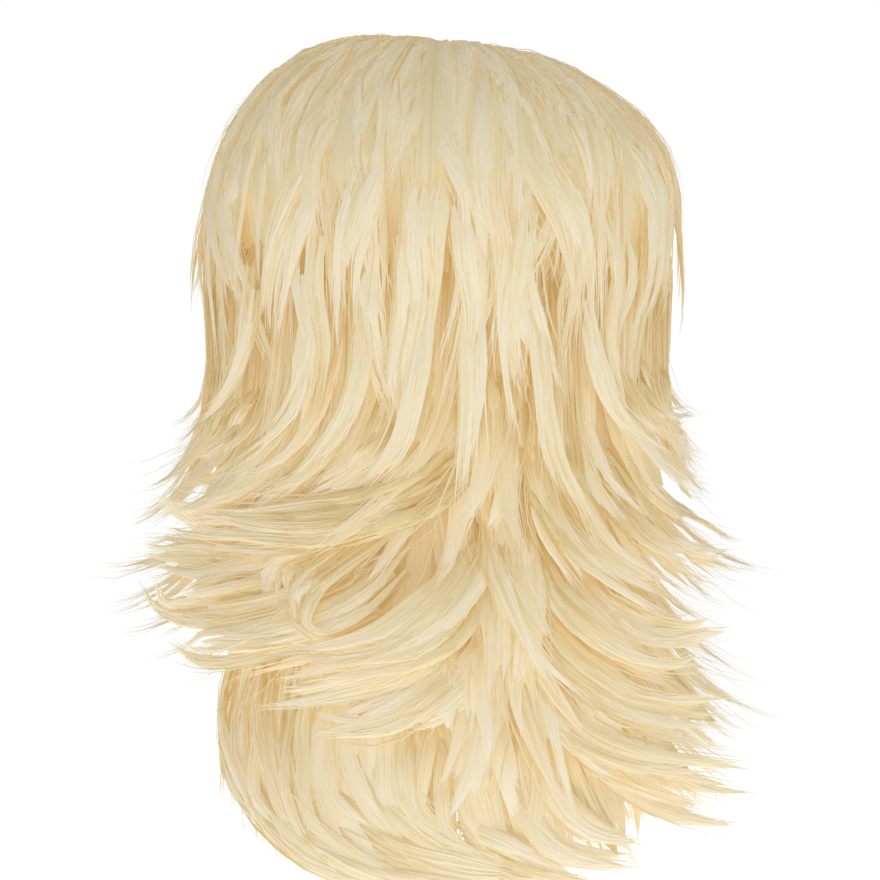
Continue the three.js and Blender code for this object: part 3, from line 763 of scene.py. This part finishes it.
def lock_piece(layer, leaves, material):
    """A layer's locks: a core in painted golden shade along each lock, and leaves of combed hair over it.
    """
    name = LAYERS[layer]["name"]
    made = COMBED[name]
    theta = 2 * np.pi * np.arange(LEAF_SIDES) / LEAF_SIDES
    rise = np.where(np.sin(theta) > 0, LEAF_TOP, LEAF_UNDER) * np.sin(theta)
    lens = np.stack([np.cos(theta), rise], -1)
    body = np.stack([np.cos(theta), CORE_DEEP * np.sin(theta)], -1)
    core_level, core_end = made["core"]
    core_t = np.linspace(0, core_end, LEAF_RINGS + 1)
    core_width = leaf_width(core_t / core_end * CORE_TIP, CORE_TAPER, LOCK_ROOT, CORE_POINT)
    rows = lock_rows(layer)
    cores = np.ones(len(rows["az"]))
    leaf_t = np.linspace(0, LEAF_END, LEAF_RINGS + 1)
    leaf_widths = leaf_width(leaf_t[None], made["taper"], leaves["root"][:, None], made["point"])
    kinds = (
        (comb(rows), CORE_WIDE * rows["half"], core_level * cores, body, core_t,
         core_width[None] * cores[:, None], CORE_MAP),
        (leaves["path"], leaves["wide"], leaves["level"], lens, leaf_t, leaf_widths, LEAF_MAP),
    )
    points, corners, sizes, uv = [], [], [], []
    for path, wide, base, section, t, widths, heights in kinds:
        faces, counts = tube_faces(len(wide), LEAF_RINGS, LEAF_SIDES)
        corners.append(faces + sum(len(part) for part in points))
        sizes.append(counts)
        points.append(lofts(layer, path, wide, base, section, t, widths))
        uv.append(loft_map(len(wide), LEAF_RINGS, LEAF_SIDES, t, *heights))
    arrays = [np.concatenate(parts) for parts in (points, corners, sizes, uv)]
    piece = new_piece(name + "_locks", *arrays, material)
    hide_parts(name)


def strand_piece(layer, leaves, rng, material):
    """A layer's strands: each keeps a place on its leaf, or between leaves, and has its own fine wave."""
    name = LAYERS[layer]["name"]
    made = COMBED[name]
    on_leaf = np.repeat(np.arange(leaves["count"]), made["strands"])
    owner = np.concatenate([on_leaf, rng.integers(0, leaves["count"], made["between"])])
    count = len(owner)
    below = (np.arange(count) >= len(on_leaf))[:, None]

    def draw(low, high):
        """A number between two for each strand."""
        return rng.uniform(low, high, (count, 1))

    reach = 1 - STRAND_SHORTER * rng.uniform(0, 1, count) ** MOSTLY_LONG
    t = STATIONS[None] * reach[:, None]
    at = sample(leaves["path"], owner, t)
    beside = draw(-STRAND_REACH, STRAND_REACH)
    share = leaf_width(t, made["taper"], leaves["root"][owner][:, None], made["point"])
    width = np.maximum(share, STRAND_LEAST)
    along = t * leaves["length"][owner][:, None]
    phase = rng.uniform(0, 2 * np.pi, (2, count, 1))
    size = rng.uniform(*FRIZZ_LENGTH, (2, count, 1))
    frizz = draw(*FRIZZ) * np.sin(2 * np.pi * along / size[0] + phase[0])
    splay = rng.normal(0, TIP_SPLAY, (count, 1)) * t ** 5
    loose = draw(0, 1) < DRIFT_SHARE
    drift = loose * rng.normal(0, DRIFT, (count, 1)) * t ** 2
    spread = np.where(below, made["loose"], width)
    across = beside * leaves["wide"][owner][:, None] * spread + frizz + splay + drift
    deep, stand = thickness(share)
    top = draw(0, 1) > made["under"]
    lens = np.sqrt(np.maximum(1 - beside ** 2, 0)) * np.where(top, LEAF_TOP, -LEAF_UNDER)
    level = leaves["level"][owner][:, None] * stand
    on_top = level + lens * deep + np.where(top, made["lie"], UNDER_LIE)
    up = np.where(below, draw(*BETWEEN_LEVEL) * stand, on_top)
    up = up + loose * draw(0, DRIFT_RISE) * t ** 2
    astray = below & (draw(0, 1) < made["fly"])
    up = up + astray * draw(*FLY_RISE) * np.sin(np.pi * t)
    centre = lay(layer, at, across, up)
    outward = unit(lay(layer, at, across, up + OUTWARD) - centre)
    thin = 1 - (1 - TIP_SHARE) * smooth((STATIONS - STRAND_THINS) / (1 - STRAND_THINS))
    radius = STRAND_RADIUS * draw(*STRAND_VARIES) * thin[None]
    # Strands between and on deeper leaves get warmer tints, painted shade; higher ones paler, a painted
    # highlight.
    pale = np.where(below[:, 0], BETWEEN_PALE, DEEP_PALE + PALE_GAIN * leaves["high"][owner])
    pale = pale - WARM_LOSS * made["warm"] + rng.normal(0, STRAND_TINT, count)
    tint = (pale.clip(0, 0.999) * TINTS).astype(int)
    tilt = rng.normal(0, STRAND_TILT, count)
    parts = np.array_split(np.arange(count), made["pieces"])
    for number, part in enumerate(parts):
        label = name + "_strands" + (f"_{number + 1}" if len(parts) > 1 else "")
        tubes(label, centre[part], radius[part], outward[part], tilt[part], tint[part], material)


# The crown's backing: columns, rows, first row, run in front and at the back, and how soon the back begins.
DOME_COLUMNS = 120
DOME_ROWS = 20
DOME_START = 0.012
DOME_FRONT = 72.0
DOME_BACK = 140.0
DOME_TURN = (0.25, 0.9)
# How far it lies below the crown's top, also at the pole, its rise near there, where and how deep it sinks,
# its wall, and its ribs as (height, number, phase) with the run that they grow over.
DOME_BELOW = 4.8
DOME_POLE = 2.6
DOME_RISE = 2
DOME_RISE_RUN = 18
DOME_SINKS = 0.8
DOME_SUNK = 7
DOME_WALL = 1.5
DOME_RIBS = ((0.7, 40, 0), (0.5, 23, 1))
DOME_RIBS_RUN = 60


def crown_dome(material):
    """The crown's backing: a closed dome between the layers below and the strands, ribbed along the hair.

    It runs further down at the back than in front, and its last fifth sinks below the crown's locks.
    """
    az = 360 * np.arange(DOME_COLUMNS)[None] / DOME_COLUMNS - 180
    t = np.linspace(DOME_START, 1, DOME_ROWS)[:, None]
    turned = np.radians(az)
    back = smooth((np.cos(turned) + DOME_TURN[0]) / DOME_TURN[1])
    run = t * (DOME_FRONT + (DOME_BACK - DOME_FRONT) * back)
    below = stack(CROWN, az, run)
    rib = sum(high * np.sin(turned * number + phase) for high, number, phase in DOME_RIBS)
    rise = DOME_RISE * (1 - smooth(run / DOME_RISE_RUN)) + rib * smooth(run / DOME_RIBS_RUN)
    over = crown_top(az, run) - DOME_BELOW + rise
    over = over + (below - DOME_SUNK - over) * smooth((t - DOME_SINKS) / (1 - DOME_SINKS))
    under = np.minimum(below + CLEAR, over - DOME_WALL)
    outer = form(az, run, over).reshape(-1, 3)
    inner = form(az, run, under).reshape(-1, 3)
    poles = np.array([form(0.0, 0.0, crown_top(0.0, 0.0) - DOME_POLE), form(0.0, 0.0, SEAT + CLEAR)])
    points = np.concatenate([outer, inner, poles])
    grid = np.arange(DOME_ROWS * DOME_COLUMNS).reshape(DOME_ROWS, DOME_COLUMNS)
    nxt = np.roll(grid, -1, 1)
    total = grid.size
    wall = np.stack([grid[:-1], nxt[:-1], nxt[1:], grid[1:]], -1).reshape(-1, 4)
    rim = np.stack([grid[-1], nxt[-1], nxt[-1] + total, grid[-1] + total], -1)
    fan = np.stack([grid[0], np.full(DOME_COLUMNS, 2 * total), nxt[0]], -1)
    inner_fan = np.stack([nxt[0] + total, np.full(DOME_COLUMNS, 2 * total + 1), grid[0] + total], -1)
    quads = np.concatenate([wall, wall[:, ::-1] + total, rim])[:, ::-1]
    threes = np.concatenate([fan, inner_fan])[:, ::-1]
    corners = np.concatenate([quads.ravel(), threes.ravel()])
    sizes = np.concatenate([np.full(len(quads), 4), np.full(len(threes), 3)])
    place = np.concatenate([np.tile(az.ravel() + 180, DOME_ROWS)] * 2 + [[0, 0]])
    depth = np.concatenate([np.repeat(t.ravel(), DOME_COLUMNS)] * 2 + [[0, 0]])
    half = np.concatenate([np.zeros(total), np.full(total, 0.5), [0, 0.5]])
    u = place[corners] / 360
    first = np.repeat(place[corners[np.concatenate([[0], np.cumsum(sizes)[:-1]])]] / 360, sizes)
    u = u + (first - u > 0.5) - (u - first > 0.5)
    uv = np.stack([u, half[corners] + 0.49 * depth[corners]], -1)
    new_piece("crown_hair_backing", points, corners, sizes, uv, material)


def node_tree(name):
    """A new material with a Principled shader, a maker of nodes and a setter of the shader's inputs."""
    material = bpy.data.materials.new(name)
    material.use_nodes = True
    tree = material.node_tree
    tree.nodes.clear()
    out = tree.nodes.new("ShaderNodeOutputMaterial")
    shader = tree.nodes.new("ShaderNodeBsdfPrincipled")
    tree.links.new(shader.outputs["BSDF"], out.inputs["Surface"])

    def surface(inputs, node=shader):
        """Set a node's inputs to values, or link them to other nodes' outputs."""
        for key, value in inputs.items():
            if hasattr(value, "is_output"):
                tree.links.new(value, node.inputs[key])
            else:
                node.inputs[key].default_value = value

    def add(kind, inputs=None, **settings):
        """A new node with its settings and inputs."""
        node = tree.nodes.new(kind)
        for key, value in settings.items():
            setattr(node, key, value)
        surface(inputs or {}, node)
        return node

    return material, add, surface


def ramp(add, value, stops):
    """A colour ramp over a value, with (place, colour) stops."""
    node = add("ShaderNodeValToRGB", {"Fac": value})
    while len(node.color_ramp.elements) < len(stops):
        node.color_ramp.elements.new(0.5)
    for element, (place, colour) in zip(node.color_ramp.elements, stops):
        element.position = place
        element.color = (*colour, 1)
    return node.outputs["Color"]


def maths(add, operation, *values):
    """The result of one operation on up to three values or sockets."""
    return add("ShaderNodeMath", dict(enumerate(values)), operation=operation).outputs[0]


def mixed(add, factor, first, second, mode="MIX"):
    """Two colours mixed by a factor."""
    node = add("ShaderNodeMix", {"Factor": factor, 6: first, 7: second}, data_type="RGBA", blend_type=mode)
    return node.outputs[2]


# Hair's tints from the palest down, those below the leaves, a painted glow lifting shade, shine and
# roughness.
PALE = (0.915, 0.848, 0.68)
CREAM = (0.885, 0.786, 0.54)
BLONDE = (0.855, 0.736, 0.46)
HONEY = (0.79, 0.645, 0.34)
AMBER = (0.72, 0.555, 0.25)
# The deep tints below the leaves paint the golden shade in the gaps between them.
GAP_SHADE_TINTS = (AMBER, HONEY, BLONDE)
CROWN_GAP_SHADE_TINTS = (HONEY, BLONDE, CREAM)
# Strength of the painted glow in the hair's own colour, standing in for light through the hair.
PAINTED_GLOW = 0.128
SHINE = 0.25
STRAND_ROUGH = 0.42
LEAF_ROUGH = 0.5
# Streaks: number on a leaf and on the dome, how they are drawn out, height, and its strength on each. A map
# that is parted above its top is deep hair all over, in the tints of painted shade.
LEAF_STREAKS = 7.0
DOME_STREAKS = 420.0
STREAK_RUN = 2.2
STREAK_HEIGHT = 0.0012
LEAF_RELIEF = 0.5
DOME_RELIEF = 0.02
ALL_DEEP = 2.0
# Paleness of a leaf: at least, gained across the map, where the palest lie last as a painted highlight, and
# in a streak, and where along it none is added. The last is where the bleaching of a strand begins.
LEAST_PALE = 0.08
SIDE_PALE = 0.5
STREAK_PALE = 0.5
PALE_FROM = 0.65
BLEACHED_FROM = 0.4


def hair_surface(material, surface, colour, roughness):
    """Hair: its colour, a soft shine, and a faint painted glow in that colour that lifts its shade."""
    surface({"Base Color": colour, "Emission Color": colour, "Emission Strength": PAINTED_GLOW})
    surface({"Roughness": roughness, "Specular IOR Level": SHINE})
    material.cycles.emission_sampling = "NONE"
    return material


def strand_material(name, root, middle, tip, bleach):
    """Strands: a tint for each strip of the map, shaded by root, middle and tip, bleached to the tip."""
    material, add, surface = node_tree(name)
    uv = add("ShaderNodeUVMap", uv_map=UV_MAP)
    across, along, _ = add("ShaderNodeSeparateXYZ", {"Vector": uv.outputs["UV"]}).outputs
    strip = maths(add, "FLOOR", maths(add, "MULTIPLY", across, float(TINTS)))
    place = maths(add, "DIVIDE", strip, TINTS - 1.0)
    tint = ramp(add, place, [(0.1, HONEY), (0.3, BLONDE), (0.55, CREAM), (0.8, PALE)])
    shade = ramp(add, along, [(0.0, root), (0.45, middle), (0.85, tip)])
    ends = {"Value": along, "From Min": BLEACHED_FROM, "From Max": 1.0, "To Max": bleach}
    bleached = add("ShaderNodeMapRange", ends).outputs["Result"]
    paler = mixed(add, bleached, tint, (*PALE, 1))
    return hair_surface(material, surface, mixed(add, 1.0, paler, shade, "MULTIPLY"), STRAND_ROUGH)


def lock_material(name, streaks, golden, gap_shade_tints, relief, warm=0.0, ahead=0.0):
    """Combed hair below the strands: streaks drawn out along the map's length, in colour and in height.

    The map's lower part, up to golden, holds what lies deepest, in warmer tints of painted shade. Above it
    the leaves lie side by side, the palest last, and each is paler towards its tip by the share ahead.
    """
    material, add, surface = node_tree(name)
    uv = add("ShaderNodeUVMap", uv_map=UV_MAP).outputs["UV"]
    drawn = add("ShaderNodeMapping", {"Vector": uv, "Scale": (streaks, STREAK_RUN, 1)})
    grain = {"Vector": drawn.outputs["Vector"], "Scale": 1.0, "Detail": 5.0, "Roughness": 0.65}
    streak = add("ShaderNodeTexNoise", grain).outputs["Fac"]
    across, along, _ = add("ShaderNodeSeparateXYZ", {"Vector": uv}).outputs
    side = maths(add, "MULTIPLY_ADD", across, SIDE_PALE, LEAST_PALE - warm - PALE_FROM * ahead)
    leaf = maths(add, "MULTIPLY_ADD", along, ahead, side)
    varied = maths(add, "MULTIPLY_ADD", streak, STREAK_PALE, leaf)
    pale = ramp(add, varied, [(0.15, HONEY), (0.35, BLONDE), (0.6, CREAM), (0.85, PALE)])
    deep = ramp(add, streak, list(zip((0.28, 0.5, 0.75), gap_shade_tints)))
    colour = mixed(add, maths(add, "GREATER_THAN", along, golden), deep, pale)
    bump = add("ShaderNodeBump", {"Height": streak, "Strength": relief, "Distance": STREAK_HEIGHT})
    surface({"Normal": bump.outputs["Normal"]})
    return hair_surface(material, surface, colour, LEAF_ROUGH)


def cap_material():
    """Stretch net: sewn rows round the cap over a fine mesh, both from Object coordinates."""
    material, add, surface = node_tree("cap_net_knit")
    where = add("ShaderNodeTexCoord").outputs["Object"]
    sewing = {"Vector": where, "Scale": 22.0, "Distortion": 0.4, "Detail": 1.0}
    rows = add("ShaderNodeTexWave", sewing, wave_type="BANDS", bands_direction="Z").outputs["Fac"]
    netting = {"Vector": where, "Scale": 420.0}
    mesh = add("ShaderNodeTexVoronoi", netting, feature="DISTANCE_TO_EDGE").outputs["Distance"]
    net = ramp(add, mesh, [(0.0, (0.86, 0.74, 0.55)), (0.18, (0.62, 0.48, 0.31))])
    sewn = ramp(add, rows, [(0.0, (1, 1, 1)), (0.82, (1, 1, 1)), (0.95, (0.72, 0.64, 0.5))])
    surface({"Base Color": mixed(add, 1.0, net, sewn, "MULTIPLY"), "Roughness": 0.85})
    bump = add("ShaderNodeBump", {"Height": rows, "Strength": 0.35, "Distance": 0.001}).outputs["Normal"]
    fine = {"Height": mesh, "Strength": 0.4, "Distance": 0.0006, "Normal": bump}
    surface({"Normal": add("ShaderNodeBump", fine, invert=True).outputs["Normal"]})
    return material


# Each strand look has its shade at root, middle and tip, and its bleaching. The upper tier's darker root
# and middle are painted shade under the crown's tips.
strand_look = strand_material("hair_strand", (0.91, 0.84, 0.68), (0.95, 0.91, 0.82), (1, 1, 1), 0.6)
upper_look = strand_material("upper_strand", (0.89, 0.81, 0.63), (0.86, 0.76, 0.55), (1, 1, 1), 0.8)
crown_look = strand_material(
    "crown_strand", (0.97, 0.95, 0.9), (0.98, 0.97, 0.94), (0.98, 0.96, 0.91), 0.35,
)
own_looks = {CROWN: crown_look, UPPER: upper_look}
dome_look = lock_material("hair_dome", DOME_STREAKS, ALL_DEEP, CROWN_GAP_SHADE_TINTS, DOME_RELIEF)
for number, spec in enumerate(LAYERS):
    draws = np.random.default_rng((SEED, number))
    sets = [split_locks(number, draws)]
    if spec["name"] in BANDS:
        sets.append(hand_combed(number, draws))
    leaves = by_tint(sets)
    made = COMBED[spec["name"]]
    # Lighter tints of painted shade in the gaps on the crown and the upper tier.
    gap_shade_tints = CROWN_GAP_SHADE_TINTS if number >= UPPER else GAP_SHADE_TINTS
    look = lock_material(
        spec["name"] + "_combed", LEAF_STREAKS * leaves["count"], MAP_PARTED, gap_shade_tints, LEAF_RELIEF,
        made["warm"], made["ahead"],
    )
    lock_piece(number, leaves, look)
    strand_piece(number, leaves, draws, own_looks.get(number, strand_look))
crown_dome(dome_look)

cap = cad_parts["wig_cap"].data
cap.materials.clear()
cap.materials.append(cap_material())

# Floor, light and camera.
FLOOR_Z = -0.40
FLOOR_HALF = 1.5
FLOOR_WHITE = (0.95, 0.95, 0.95, 1)
FLOOR_GLOW = 0.75


def floor_piece():
    """A flat pale square below the hair."""
    square = ((-1, -1), (1, -1), (1, 1), (-1, 1))
    mesh = bpy.data.meshes.new("floor")
    mesh.from_pydata([(x * FLOOR_HALF, y * FLOOR_HALF, FLOOR_Z) for x, y in square], [], [(0, 1, 2, 3)])
    material, _add, surface = node_tree("floor_white")
    surface({"Base Color": FLOOR_WHITE, "Roughness": 0.9})
    surface({"Emission Color": (1, 1, 1, 1), "Emission Strength": FLOOR_GLOW})
    mesh.materials.append(material)
    piece = bpy.data.objects.new("floor", mesh)
    bpy.context.scene.collection.objects.link(piece)


def area_light(name, place, aim, size, power):
    """A soft square light at a place, turned to its aim."""
    data = bpy.data.lights.new(name, "AREA")
    data.size = size
    data.energy = power
    light = bpy.data.objects.new(name, data)
    bpy.context.scene.collection.objects.link(light)
    direction = np.array(aim) - np.array(place)
    light.location = place
    light.rotation_euler = (
        math.atan2(math.hypot(direction[0], direction[1]), -direction[2]),
        0,
        math.atan2(direction[1], direction[0]) - math.pi / 2,
    )


def world_light(seen, cast):
    """Even white surroundings: one strength behind the hair, a softer one as light on it."""
    world = bpy.data.worlds.new("studio")
    world.use_nodes = True
    tree = world.node_tree
    tree.nodes.clear()
    out = tree.nodes.new("ShaderNodeOutputWorld")
    mix = tree.nodes.new("ShaderNodeMixShader")
    path = tree.nodes.new("ShaderNodeLightPath")
    tree.links.new(path.outputs["Is Camera Ray"], mix.inputs["Fac"])
    for socket, strength in ((1, cast), (2, seen)):
        background = tree.nodes.new("ShaderNodeBackground")
        background.inputs["Color"].default_value = (1, 1, 1, 1)
        background.inputs["Strength"].default_value = strength
        tree.links.new(background.outputs["Background"], mix.inputs[socket])
    tree.links.new(mix.outputs["Shader"], out.inputs["Surface"])
    bpy.context.scene.world = world


floor_piece()
world_light(1.0, 0.33)
area_light("front", (0.1, 2.6, 0.0), (0, 0, -0.17), 0.7, 4.2)
area_light("top", (-0.3, 0.9, 1.9), (0, 0, -0.1), 1.5, 10.5)
bpy.context.scene.cycles.diffuse_bounces = 8

camera_data = bpy.data.cameras.new("camera")
camera_data.sensor_width = SENSOR
camera_data.lens = SENSOR * CAMERA_DISTANCE / (PHOTO_SIDE * PHOTO_MM_PER_PIXEL * MM)
camera_data.clip_end = 50
camera = bpy.data.objects.new("camera", camera_data)
bpy.context.scene.collection.objects.link(camera)
camera.location = (CAMERA_X, CAMERA_DISTANCE, CAMERA_Z)
camera.rotation_euler = (math.pi / 2, 0, math.pi)
bpy.context.scene.camera = camera
bpy.context.scene.view_settings.view_transform = "Standard"
